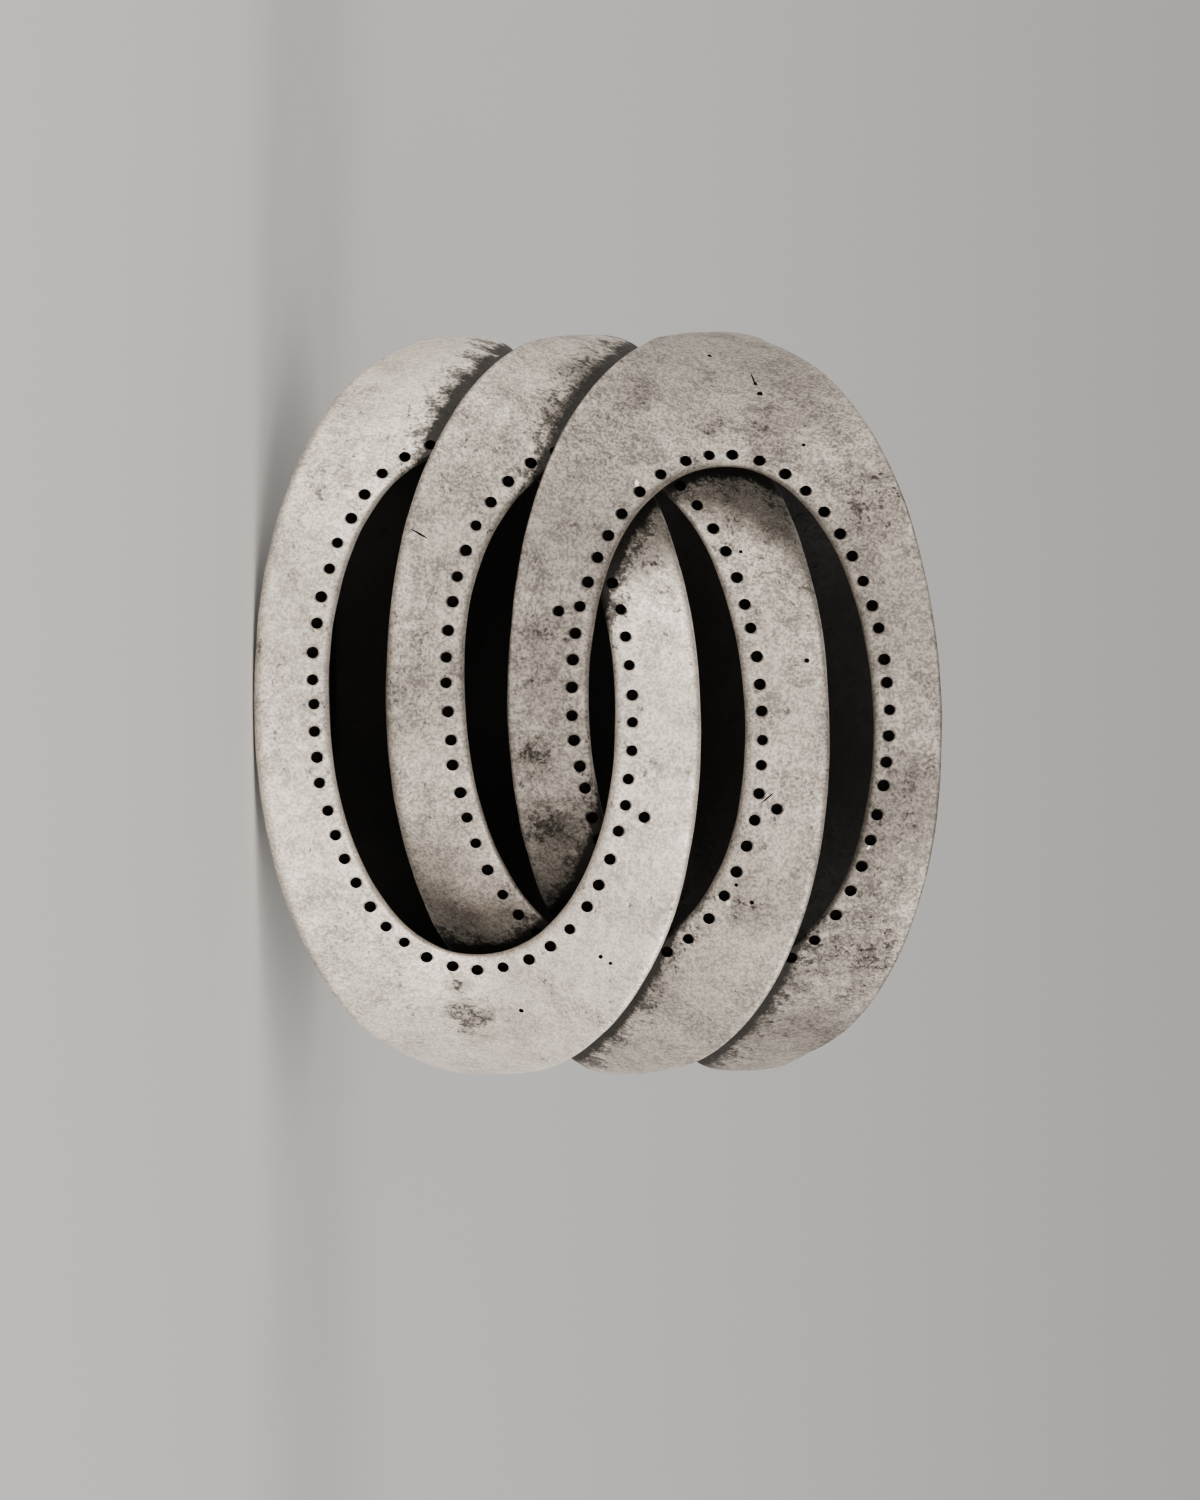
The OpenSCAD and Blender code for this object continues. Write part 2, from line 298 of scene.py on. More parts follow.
def silver(name, bright, dull, stains_and_shade, roughness):
    """The aged silver of one hoop, in a tint that is painted light: the three hoops' tints step
    darker from left to right as if lit from the left. The marks are (right, up, size, strength)
    in the view, in mm: most are real marks, and some are painted shade.
    """
    material = bpy.data.materials.new(name)
    material.use_nodes = True
    tree = material.node_tree
    shader = tree.nodes["Principled BSDF"]
    place = millimetres(tree)

    def placed_group(group, **values):
        node = tree.nodes.new("ShaderNodeGroup")
        node.node_tree = group
        tree.links.new(place, node.inputs["Place"])
        for label, value in values.items():
            node.inputs[label].default_value = value
        return node

    def mixed_colour(fac, a, b, blend="MIX"):
        node = tree.nodes.new("ShaderNodeMix")
        node.data_type = "RGBA"
        node.blend_type = blend
        tree.links.new(fac, node.inputs["Factor"])
        for socket, value in ((node.inputs[6], a), (node.inputs[7], b)):
            if isinstance(value, tuple):
                socket.default_value = (*value, 1)
            else:
                tree.links.new(value, socket)
        return node.outputs[2]

    grain = placed_group(grain_group)
    grime_and_shade = None
    for right, up, size, strength in stains_and_shade:
        stain_and_shade_mark = placed_group(mark_group, Centre=in_front(right, up), Size=size, Strength=strength)
        mark = stain_and_shade_mark.outputs["Mark"]
        grime_and_shade = mark if grime_and_shade is None else math_node(tree, "MAXIMUM", grime_and_shade, mark)
    shade_and_oxide = placed_group(shade_and_oxide_group)
    # a weak mark only darkens the silver, and a strong one carries grime too, which is painted
    # shade where the mark is painted shade
    tree.links.new(times(tree, times(tree, grime_and_shade, grime_and_shade), 1.8), shade_and_oxide.inputs["GrimeAndShade"])
    shadow_and_oxide = shade_and_oxide.outputs["ShadowAndOxide"]

    dullness = plus(tree, times(tree, between(tree, grain.outputs["Speckle"], 0.36, 0.64), 0.75),
                    times(tree, between(tree, grain.outputs["Patches"], 0.38, 0.66), 0.34))
    rubbed_and_lit = between(tree, measured(tree, "edge_wear_and_light"), 0.05, 0.32)
    painted_edge_shade = between(tree, times(tree, measured(tree, "edge_wear_and_light"), -1.0), 0.02, 0.20)
    colour = mixed_colour(dullness, bright, dull)
    # marks darken the silver: most are stains, and on the right hoop some are painted shade
    colour = mixed_colour(times(tree, grime_and_shade, 1.25, clamp=True), colour, STAIN_AND_SHADE_TINT, "MULTIPLY")
    colour = mixed_colour(times(tree, grain.outputs["Pores"], 0.6), colour, PORE_TINT)
    # edges facing up and left get lighter, from wear and as painted highlight, and edges facing
    # down and right get painted shade
    colour = mixed_colour(times(tree, rubbed_and_lit, 0.75), colour, RUBBED_AND_LIT_TINT)
    colour = mixed_colour(times(tree, painted_edge_shade, 0.80), colour, EDGE_SHADE_TINT)
    # painted shadow: the smooth black band beside and under a hoop in front; the ragged grime round
    # it is oxide
    colour = mixed_colour(times(tree, shadow_and_oxide, 0.96), colour, OXIDE_AND_SHADOW_TINT)
    # painted shade: the ring's inner faces near black
    colour = mixed_colour(shade_and_oxide.outputs["Inside"], colour, INSIDE_SHADE_TINT)
    tree.links.new(colour, shader.inputs["Base Color"])

    bare = math_node(tree, "SUBTRACT", 0.82, times(tree, measured(tree, "shadow_and_oxide_cover"), 0.45))
    tree.links.new(bare, shader.inputs["Metallic"])

    rough = plus(tree, times(tree, dullness, 0.12), roughness)
    rough = plus(tree, rough, times(tree, shadow_and_oxide, 0.12))
    rough = math_node(tree, "SUBTRACT", rough, times(tree, rubbed_and_lit, 0.10), clamp=True)
    tree.links.new(rough, shader.inputs["Roughness"])

    bump = tree.nodes.new("ShaderNodeBump")
    bump.inputs["Distance"].default_value = BUMP_HEIGHT
    bump.inputs["Strength"].default_value = 0.6
    raised = math_node(tree, "SUBTRACT", grain.outputs["Height"], times(tree, shadow_and_oxide, 0.5))
    tree.links.new(raised, bump.inputs["Height"])
    tree.links.new(bump.outputs["Normal"], shader.inputs["Normal"])
    return material


# Oxide in the drilled holes, pits and cracks
hole_black = bpy.data.materials.new("oxide_in_holes")
hole_black.use_nodes = True
hole_tree = hole_black.node_tree
hole_shader = hole_tree.nodes["Principled BSDF"]
hole_grit = blotches(hole_tree, millimetres(hole_tree), per_mm=9.0, detail=2.0)
hole_ramp = hole_tree.nodes.new("ShaderNodeValToRGB")
hole_ramp.color_ramp.elements[0].color = (0.006, 0.006, 0.005, 1)
hole_ramp.color_ramp.elements[1].color = (*OXIDE_AND_SHADOW_TINT, 1)
hole_tree.links.new(hole_grit, hole_ramp.inputs["Fac"])
hole_tree.links.new(hole_ramp.outputs["Color"], hole_shader.inputs["Base Color"])
hole_shader.inputs["Roughness"].default_value = 0.85
hole_shader.inputs["Specular IOR Level"].default_value = 0.15

# ---- Left hoop
# A closed hoop of cast silver: in front an open oval eye between two strands, a neck at the top
# and the bottom, and behind the finger a shank that spreads to the left. It is laid out flat with
# the eye in it, its rims are rounded, it is rolled round the finger, and it is drilled last.

# The section round the finger. Pairs are angles from the middle of the front, in degrees, from
# which and up to which a change is made.
FINGER_R = 9.1
FRONT_R, BACK_R = 11.6, 10.2
BULGE_END, BULGE_POWER = 112, 1.4
STRAND_T = 0.84
THICKENED = (78, 96)
BORE_STOCK = 0.3       # extra metal on the inside of the shank, which the bore takes off again
FRONT_CROWN, SHANK_CROWN = 0.12, 0.30
CROWN_RAISED = (60, 90)
TWIST, TWIST_PEAK, TWIST_END = 0.45, 62, 97
FREE_SHARE = 0.15      # part of the twist that is left on a side without a neighbour
FREE_BLEND = 0.6

# The outline
SHANK_HALF = 1.52
OUTLINE_POWER, TAPER, EYE_POWER = 2.2, 0.045, 2.1
WIDEST = 8.0           # the search for the plate's edge ends here
LOW_TRIM = 0.45        # part of a lowered strand's fall that its outline doesn't follow
RIM_SEEN = (50, 90)    # here the outline comes to be that of the outer face, not of the middle
NECK = (66, 94)
BLEND = 0.3            # rounding between the outline and the shank
THINNEST_EDGE = 0.26   # metal that is left outside the bore at the plate's edge, at least
WING_SPREAD, CLOSED_UP = (118, 150), (98, 120)
HIGHEST = 10.70        # seen height above which the top and bottom of the outline are filed off
FILED, FILED_OFF = (60, 72), (92, 100)
FILING_SOFT = 0.01     # rounding at the start of the filed part, in square mm
EDGE_FALL = 0.32       # how far the outer face falls to its edges where it turns out of sight
FALL_IN, FALL_OUT = (62, 82), (100, 125)
JOINT_SLANT = 0.8      # slant of the shanks' neighbouring edges, which keeps light out
SLANTED = (104, 126)
JOINT_BLACK, JOINT_EDGE = 110, 0.97  # angle and share of the reach past which a joint is black
NEAR_EDGE = 4          # power that keeps a change close to the plate's edge
SIGHT_END = 80         # up to this angle the eye's wall is cut along the line of sight
EYE_MEAN = 5.3         # mean half size of an eye
EYE_WALL = (0.1, 1.3)  # distances from the eye between which its wall's cut fades out

# The flat plate
FLAT_R = 11.0          # the plate's length is laid out at this radius
SPOKE = 5              # degrees between two spokes round the eye
CORNER = 65            # the spoke where the outline ends and the crossing begins
EVEN_SPOKES = 0.8      # degrees round the finger for each degree round the eye, at its sides
LANES = (0, 0.20, 0.36, 0.52, 0.68, 0.84, 1)
CROSSING = 70          # angle from the front where the eye's part meets the shank
CROSSING_SHARES = (-1, -0.68, -0.46, -0.28, -0.13, 0, 0.13, 0.28, 0.46, 0.68, 1)
SHANK_ROWS = 22
RIM_ROUND, EYE_ROUND = 0.34, 0.20
SHARP_FOLD = 1.2       # radians between two faces past which their edge is a rim


def oval(z, half_w, half_h, power):
    """Half the width of an oval at the height z."""
    return half_w * max(0.0, 1 - (abs(z) / half_h) ** power) ** (1 / power)


def ease(x, start, end):
    """0 up to the start, 1 from the end on, smooth between."""
    s = min(1.0, max(0.0, (x - start) / (end - start)))
    return s * s * (3 - 2 * s)


def sind(degrees):
    return math.sin(math.radians(degrees))


def cosd(degrees):
    return math.cos(math.radians(degrees))


def outer_r(t):
    """Radius of the outer face at the angle t from the front."""
    s = min(1.0, abs(t) / BULGE_END) ** BULGE_POWER
    return BACK_R + (FRONT_R - BACK_R) * (1 + cosd(180 * s)) / 2


def band_t(t):
    """The plate's thickness at the angle t."""
    return STRAND_T + (BACK_R - FINGER_R + BORE_STOCK - STRAND_T) * ease(abs(t), *THICKENED)


def mid_r(t):
    return outer_r(t) - band_t(t) / 2


def drop(hoop, t, u):
    """How far the twist lowers the plate at the distance u to the right."""
    a = abs(t)
    past = min(1.0, max(0.0, a - TWIST_PEAK) / (TWIST_END - TWIST_PEAK))
    size = sind(90 * a / TWIST_PEAK) if a < TWIST_PEAK else (1 + cosd(180 * past)) / 2
    free = hoop["free_side"]
    joined = (u - free * math.sqrt(u * u + FREE_BLEND ** 2)) / 2
    turned_u = u if free == 0 else FREE_SHARE * u + (1 - FREE_SHARE) * joined
    return math.copysign(TWIST * size, t) * turned_u


def in_ring(hoop, t, u, r):
    """Point of the hoop at the angle t, the distance u to the right and the radius r."""
    x, y = -r * sind(t), -r * cosd(t)
    c, s = cosd(hoop["lean"]), sind(hoop["lean"])
    return Vector((x * c - u * s - hoop["rise"], y, x * s + u * c + hoop["place"]))


def reach(hoop, t, side):
    """How far the plate reaches to one side (1 right, -1 left) at the angle t."""
    a = abs(t)
    neck = ease(a, *NECK)
    low, high = 0.0, WIDEST
    for _ in range(16):
        mid = (low + high) / 2
        fall = drop(hoop, t, side * mid)
        r = mid_r(t) - fall * (1 - LOW_TRIM if fall > 0 else 1)
        height = (r + band_t(t) / 2 * ease(a, *RIM_SEEN)) * (sind(a) if a < 90 else 2 - sind(a))
        narrowing = 1 - TAPER * max(0.0, math.copysign(height / hoop["half_h"], t))
        outline = narrowing * oval(height, hoop["half_w"], hoop["half_h"], OUTLINE_POWER)
        shank = SHANK_HALF
        if side == hoop["free_side"]:
            level_wing = hoop["wing"] + side * BACK_R * sind(t) * sind(hoop["lean"])
            shank += (level_wing - SHANK_HALF) * ease(a, *WING_SPREAD)
        else:
            shank += hoop["closer"] * ease(a, *CLOSED_UP)
        soft = (shank + outline + math.sqrt((shank - outline) ** 2 + BLEND ** 2)) / 2
        target = shank * neck + soft * (1 - neck)
        top = in_ring(hoop, t, side * mid, mid_r(t) - fall + band_t(t) / 2)
        thin = math.hypot(top.x, top.y) < FINGER_R + THINNEST_EDGE
        low, high = (mid, high) if target > mid and not thin else (low, mid)
    return (low + high) / 2


def superoval(half_w, half_h, power, turn):
    """Point of an oval at a turn in degrees, counter-clockwise from its right-hand end."""
    c, s = cosd(turn), sind(turn)
    return (math.copysign(half_w * abs(c) ** (2 / power), c),
            math.copysign(half_h * abs(s) ** (2 / power), s))


def turned(a, h, lean):
    """A point of the view turned by a lean to the left."""
    return a * cosd(lean) - h * sind(lean), a * sind(lean) + h * cosd(lean)


def seen_angle(height, radius):
    """Angle from the front at which a point of that radius is seen at the height, in degrees."""
    return math.degrees(math.asin(max(-1, min(1, height / radius))))


def on_eye(hoop, turn):
    """Flat place (u, arc) of the eye's edge."""
    a, h = turned(*superoval(hoop["eye_w"], hoop["eye_h"], EYE_POWER, turn), hoop["eye_lean"])
    a, h = a + hoop["eye_shift"], h + hoop["eye_rise"]
    t = 0.0
    for _ in range(6):
        t = seen_angle(h, mid_r(t) - drop(hoop, t, a))
    return a, math.radians(t) * FLAT_R


def on_outline(hoop, turn):
    """Flat place of the outline, or of the crossing into the shank, at a spoke's turn."""
    turn = (turn + 180) % 360 - 180
    from_side = abs(turn) if abs(turn) <= 90 else 180 - abs(turn)
    side = 1 if abs(turn) <= 90 else -1
    if from_side <= CORNER:
        rest = CROSSING - EVEN_SPOKES * CORNER
        t = math.copysign(EVEN_SPOKES * from_side + rest * (from_side / CORNER) ** 3, turn)
        return side * reach(hoop, t, side), math.radians(t) * FLAT_R
    t = math.copysign(CROSSING, turn)
    share = CROSSING_SHARES[round((90 - abs(turn)) / SPOKE) + len(CROSSING_SHARES) // 2]
    return share * reach(hoop, t, 1 if share > 0 else -1), math.radians(t) * FLAT_R


def flat_plate(hoop):
    """The hoop laid out flat, in mm: x across, y round the finger, z through the thickness."""
    bm = bmesh.new()
    spoke = [bm.verts.new((1 + i, 0, 0)) for i in range(len(LANES))]
    lines = [bm.edges.new(pair) for pair in zip(spoke, spoke[1:])]
    bmesh.ops.spin(bm, geom=spoke + lines, cent=(0, 0, 0), axis=(0, 0, 1),
                   angle=math.tau, steps=360 // SPOKE, use_merge=True)
    bmesh.ops.remove_doubles(bm, verts=bm.verts[:], dist=0.01)
    eye_edge = set()
    for vert in bm.verts:
        lane = LANES[round(vert.co.length) - 1]
        turn = round(math.degrees(math.atan2(vert.co.y, vert.co.x)) / SPOKE) * SPOKE
        near, far = on_eye(hoop, turn), on_outline(hoop, turn)
        vert.co = Vector((*(n + (f - n) * lane for n, f in zip(near, far)), 0))
        if lane == 0:
            eye_edge.add((round(vert.co.x, 4), round(vert.co.y, 4)))

    for way in (1, -1):
        start_y = way * math.radians(CROSSING) * FLAT_R
        row = [e for e in bm.edges if all(abs(v.co.y - start_y) < 1e-5 for v in e.verts)]
        for number in range(1, SHANK_ROWS + 1):
            made = bmesh.ops.extrude_edge_only(bm, edges=row)["geom"]
            row = [g for g in made if isinstance(g, bmesh.types.BMEdge)]
            verts = [g for g in made if isinstance(g, bmesh.types.BMVert)]
            verts.sort(key=lambda v: v.co.x)
            t = way * (CROSSING + (180 - CROSSING) * number / SHANK_ROWS)
            left, right = reach(hoop, t, -1), reach(hoop, t, 1)
            for vert, share in zip(verts, CROSSING_SHARES):
                u = share * (right if share > 0 else left)
                vert.co = Vector((u, math.radians(t) * FLAT_R, 0))

    raised = bmesh.ops.extrude_face_region(bm, geom=bm.faces[:])["geom"]
    raised = {g for g in raised if isinstance(g, bmesh.types.BMVert)}
    half = STRAND_T / 2
    for vert in bm.verts:
        vert.co.z = half if vert in raised else -half
    ends = (math.pi * FLAT_R, -math.pi * FLAT_R)
    walls = [f for f in bm.faces
             if any(all(abs(v.co.y - end) < 1e-4 for v in f.verts) for end in ends)]
    bmesh.ops.delete(bm, geom=walls, context="FACES")
    bmesh.ops.recalc_face_normals(bm, faces=bm.faces[:])
    rims = [e for e in bm.edges if len(e.link_faces) == 2 and e.calc_face_angle(0) > SHARP_FOLD]

    def at_eye(edge):
        return all((round(v.co.x, 4), round(v.co.y, 4)) in eye_edge for v in edge.verts)

    for size, edges in ((EYE_ROUND, [e for e in rims if at_eye(e)]),
                        (RIM_ROUND, [e for e in rims if not at_eye(e)])):
        bmesh.ops.bevel(bm, geom=edges, offset=size, offset_type="OFFSET", affect="EDGES",
                        segments=3, profile=0.5, material=-1, clamp_overlap=True)
    return bm


def off_eye(hoop, a, h):
    """How many times farther out than the eye's edge a place lies, from the eye's own middle."""
    level = (abs(a) / hoop["eye_w"]) ** EYE_POWER + (abs(h) / hoop["eye_h"]) ** EYE_POWER
    return level ** (1 / EYE_POWER)


def roll_up(bm, hoop):
    """Bends the flat plate round the finger, with its dome and its twist, and closes it."""
    depth_layer = bm.verts.layers.float.new("depth")
    for vert in bm.verts:
        u, t, w = vert.co.x, math.degrees(vert.co.y / FLAT_R), vert.co.z * 2 / STRAND_T
        a = abs(t)
        side = 1 if u > 0 else -1
        x = min(1.0, abs(u) / reach(hoop, t, side))
        half = band_t(t) / 2
        middle = mid_r(t) - drop(hoop, t, u)
        low = -half
        crown = FRONT_CROWN + (SHANK_CROWN - FRONT_CROWN) * ease(a, *CROWN_RAISED)
        high = half + crown * (1 - x * x)
        if FILED[0] < a < FILED_OFF[1]:
            over = (middle + high) * sind(a) - HIGHEST
            over = (over + math.sqrt(over * over + FILING_SOFT)) / 2 / sind(a)
            high -= over * ease(a, *FILED) * (1 - ease(a, *FILED_OFF))
        if side != hoop["free_side"]:
            high -= EDGE_FALL * ease(a, *FALL_IN) * (1 - ease(a, *FALL_OUT)) * x ** NEAR_EDGE
        base = in_ring(hoop, t, u, middle + low)
        low += max(0.0, FINGER_R - math.hypot(base.x, base.y))
        lift = low + (w + 1) / 2 * (high - low)
        if a < SIGHT_END:
            seen_h = middle * sind(t)
            away = off_eye(hoop, *turned(u - hoop["eye_shift"], seen_h - hoop["eye_rise"],
                                         -hoop["eye_lean"]))
            straight = seen_angle(seen_h, middle + lift)
            t += (straight - t) * (1 - ease((away - 1) * EYE_MEAN, *EYE_WALL))
        vert[depth_layer] = w
        if side != hoop["free_side"]:
            u += JOINT_SLANT * lift * ease(abs(t), *SLANTED) * x ** NEAR_EDGE
            if abs(t) > JOINT_BLACK and x > JOINT_EDGE:
                vert[depth_layer] = -1
        vert.co = in_ring(hoop, t, u, middle + lift)
    bmesh.ops.remove_doubles(bm, verts=bm.verts[:], dist=0.002)
    bmesh.ops.recalc_face_normals(bm, faces=bm.faces[:])


AT_REST = Matrix.Translation(RING_CENTRE) @ Matrix.Rotation(math.radians(-REST_TILT), 4, "X")
WAVES = ((3.2, 0.030), (0.9, 0.014))   # length and height of a hand-made casting's waves and dents


def finished_mesh(name, bm):
    """The plate with two subdivisions, its unevenness and its place at rest, in mm."""
    mesh = bpy.data.meshes.new(name)
    bm.to_mesh(mesh)
    bm.free()
    rough = bpy.data.objects.new(name + "_rough", mesh)
    bpy.context.scene.collection.objects.link(rough)
    smooth = rough.modifiers.new("smooth", "SUBSURF")
    smooth.levels = smooth.render_levels = 2
    smoothed = rough.evaluated_get(bpy.context.evaluated_depsgraph_get())
    made = bpy.data.meshes.new_from_object(smoothed)
    bpy.data.objects.remove(rough)
    made.name = name
    normals = [vert.normal.copy() for vert in made.vertices]
    for vert, normal in zip(made.vertices, normals):
        vert.co += normal * sum(high * noise.noise(vert.co / long) for long, high in WAVES)
        off = math.hypot(vert.co.x, vert.co.y)
        if off < FINGER_R:
            vert.co.x *= FINGER_R / off
            vert.co.y *= FINGER_R / off
        vert.co = AT_REST @ vert.co
        vert.co.z = max(0.0, vert.co.z)
    made.update()
    return made


# The drilled dots, the pits and the cracks
HOLE_R, HOLE_DEPTH, HOLE_CHAMFER = 0.162, 0.46, 0.04
HOLE_SIDES = 16
HOLE_CLEAR = 0.36      # from the middle of a hole to the eye's edge, at least
HOLE_SIZES = (0.93, 1.05)
PIT_DEPTH = 0.35       # as a share of a hole's
DRILL_TILT = 0.6       # 0 is square to the surface, 1 is straight into the front
HAND_ALONG, HAND_ASIDE = 0.03, 0.015   # how unsteady the hand was, in mm
DRIFT_START = 8        # the hole of the row where the hand's drift begins
ABOVE = 20             # a sight line starts this far in front of the ring's middle


def clear_of_eye(hoop, a, h):
    """A hole's place in the view, moved outwards if it lies too near the eye's edge."""
    x, z = hoop["rise"] - h, a - hoop["place"]
    c, s = cosd(hoop["lean"]), sind(hoop["lean"])
    x, z = x * c + z * s, z * c - x * s
    b, g = turned(z - hoop["eye_shift"], -x - hoop["eye_rise"], -hoop["eye_lean"])
    level = off_eye(hoop, b, g)
    size = math.hypot(b, g) / level
    grow = max(1.0, (size + HOLE_CLEAR) / (size * level))
    b, g = turned(b * grow, g * grow, hoop["eye_lean"])
    z, x = b + hoop["eye_shift"], -g - hoop["eye_rise"]
    x, z = x * c - z * s, z * c + x * s
    return z + hoop["place"], hoop["rise"] - x


def seen_spot(tree, a, h):
    """Point and normal of the surface that is seen at a place in the view, a right and h up."""
    start = RING_CENTRE + ACROSS * a + UPWARD * h + FRONTWARD * ABOVE
    hit, normal, _, _ = tree.ray_cast(start, -FRONTWARD)
    return hit, normal


def drill_bit():
    """The hole's shape: a chamfered drilling with a cone at its end, down along -Z."""
    bm = bmesh.new()
    mouth, axis, top = HOLE_R + HOLE_CHAMFER, 0.001, 0.15
    profile = [(axis, top), (mouth + 0.02, top), (mouth, 0.004), (HOLE_R, -HOLE_CHAMFER),
               (HOLE_R * 0.94, -HOLE_DEPTH), (axis, -HOLE_DEPTH - 0.09)]
    verts = [bm.verts.new((x, 0, z)) for x, z in profile]
    lines = [bm.edges.new(pair) for pair in zip(verts, verts[1:])]
    bmesh.ops.spin(bm, geom=verts + lines, cent=(0, 0, 0), axis=(0, 0, 1), angle=math.tau,
                   steps=HOLE_SIDES, use_merge=True)
    bmesh.ops.remove_doubles(bm, verts=bm.verts[:], dist=0.003)
    bmesh.ops.recalc_face_normals(bm, faces=bm.faces[:])
    for face in bm.faces:
        # the chamfer keeps the silver, and the rest of the hole is black
        face.material_index = 1 if -HOLE_CHAMFER < face.calc_center_median().z < 0 else 0
    mesh = bpy.data.meshes.new("drill_bit")
    bm.to_mesh(mesh)
    bm.free()
    return mesh


bit = drill_bit()


def add_bit(bm, spot, normal, size=1.0, deep=1.0):
    """Adds one drill bit to the cutter. The maker held the drill closer to level than to square."""
    known = set(bm.verts)
    bm.from_mesh(bit)
    new = [v for v in bm.verts if v not in known]
    drill = (normal * (1 - DRILL_TILT) + FRONTWARD * DRILL_TILT).normalized()
    place = Matrix.Translation(spot) @ drill.to_track_quat("Z", "Y").to_matrix().to_4x4()
    bmesh.ops.transform(bm, matrix=place @ Matrix.Diagonal((size, size, deep, 1)), verts=new)


def add_crack(bm, tree, a0, h0, a1, h1, width, deep):
    """Adds a thin sliver to the cutter, from one place in the view to another."""
    (start, normal), (end, _) = seen_spot(tree, a0, h0), seen_spot(tree, a1, h1)
    along = (end - start).normalized()
    across = normal.cross(along).normalized()
    place = Matrix((along, across, along.cross(across))).transposed().to_4x4()
    place.translation = (start + end) / 2
    size = Matrix.Diagonal(((end - start).length / 2, width / 2, deep, 1))
    bmesh.ops.create_icosphere(bm, subdivisions=1, radius=1, matrix=place @ size)


def drilled(mesh, name, cutter_bm, metal):
    """The mesh with the cutter taken out of it."""
    cutter_mesh = bpy.data.meshes.new(name + "_bits")
    cutter_bm.to_mesh(cutter_mesh)
    cutter_bm.free()
    cutter_mesh.materials.append(hole_black)
    cutter_mesh.materials.append(metal)
    body = bpy.data.objects.new(name + "_body", mesh)
    bits = bpy.data.objects.new(name + "_bits", cutter_mesh)
    for part in (body, bits):
        bpy.context.scene.collection.objects.link(part)
    cut = body.modifiers.new("holes", "BOOLEAN")
    cut.operation = "DIFFERENCE"
    cut.object = bits
    cut.solver = "MANIFOLD"
    cut.material_mode = "TRANSFER"
    cut_body = body.evaluated_get(bpy.context.evaluated_depsgraph_get())
    made = bpy.data.meshes.new_from_object(cut_body)
    bpy.data.objects.remove(body)
    bpy.data.objects.remove(bits)
    return made


def row_spots(row, rng):
    """Where the holes of a row are seen."""
    fine = [superoval(row["half_w"], row["half_h"], row["power"], i / 4) for i in range(1441)]
    arcs = [0.0]
    for p, q in zip(fine, fine[1:]):
        arcs.append(arcs[-1] + math.dist(p, q))
    spots = []
    for k in range(row["count"]):
        drift = row["drift"] * math.sin(math.tau * (k - DRIFT_START) / row["count"])
        along = row["start"] + arcs[-1] * k / row["count"] + drift
        along += rng.gauss(0, HAND_ALONG)
        number = min(range(len(arcs)), key=lambda i: abs(arcs[i] - along))
        a, h = turned(*fine[number], row["lean"])
        spots.append((a + row["right"] + rng.gauss(0, HAND_ASIDE),
                      h + row["up"] + rng.gauss(0, HAND_ASIDE)))
    return spots


# How far a point lies from a hoop that covers it, seen from the front. This sets the painted shadow
# beside and under the hoops that pass over, and the oxide where a polishing cloth pressed on from
# the front doesn't reach.
CLOTH_STEPS = (0.12, 0.25, 0.40, 0.60, 0.85, 1.15, 1.5)   # how near another hoop is looked for
CLOTH_WAYS = [ACROSS * cosd(45 * k) + UPWARD * sind(45 * k) for k in range(8)]
CLOTH_LIFT, CLOTH_RAY = 0.15, 12
FAR_APART = 2.2        # no other hoop shades a point from farther than this
WIDER_TOP, TOP_HEIGHT = 0.5, (6.8, 9.0)   # the black runs out more widely at the ring's top
CREVICE = (0.30, 0.85)   # gap to another hoop up to which it stays black, and from which it is bare
TURNED_AWAY = (-0.2, 0.05)
SHADED_WAY, SHADED_FROM = ACROSS * 0.55 - UPWARD * 0.8, 0.35   # edges facing down and right get painted shade
RUBBED_AND_LIT, EDGE_SHADE = 0.55, 1.9


def front_cover(spot, trees):
    """How close a point lies to a hoop that passes in front of it: 1 under it, 0 well away."""
    def covered(point):
        start = point + FRONTWARD * CLOTH_LIFT
        return any(tree.ray_cast(start, FRONTWARD, CLOTH_RAY)[0] is not None for tree in trees)

    if all(tree.find_nearest(spot, FAR_APART)[0] is None for tree in trees):
        return 0.0
    if covered(spot):
        return 1.0
    steep = 1 + WIDER_TOP * ease((spot - RING_CENTRE).dot(UPWARD), *TOP_HEIGHT)
    for size in CLOTH_STEPS:
        if any(covered(spot + way * size) for way in CLOTH_WAYS):
            return max(0.0, 1 - size / CLOTH_STEPS[-1] / steep)
    return 0.0


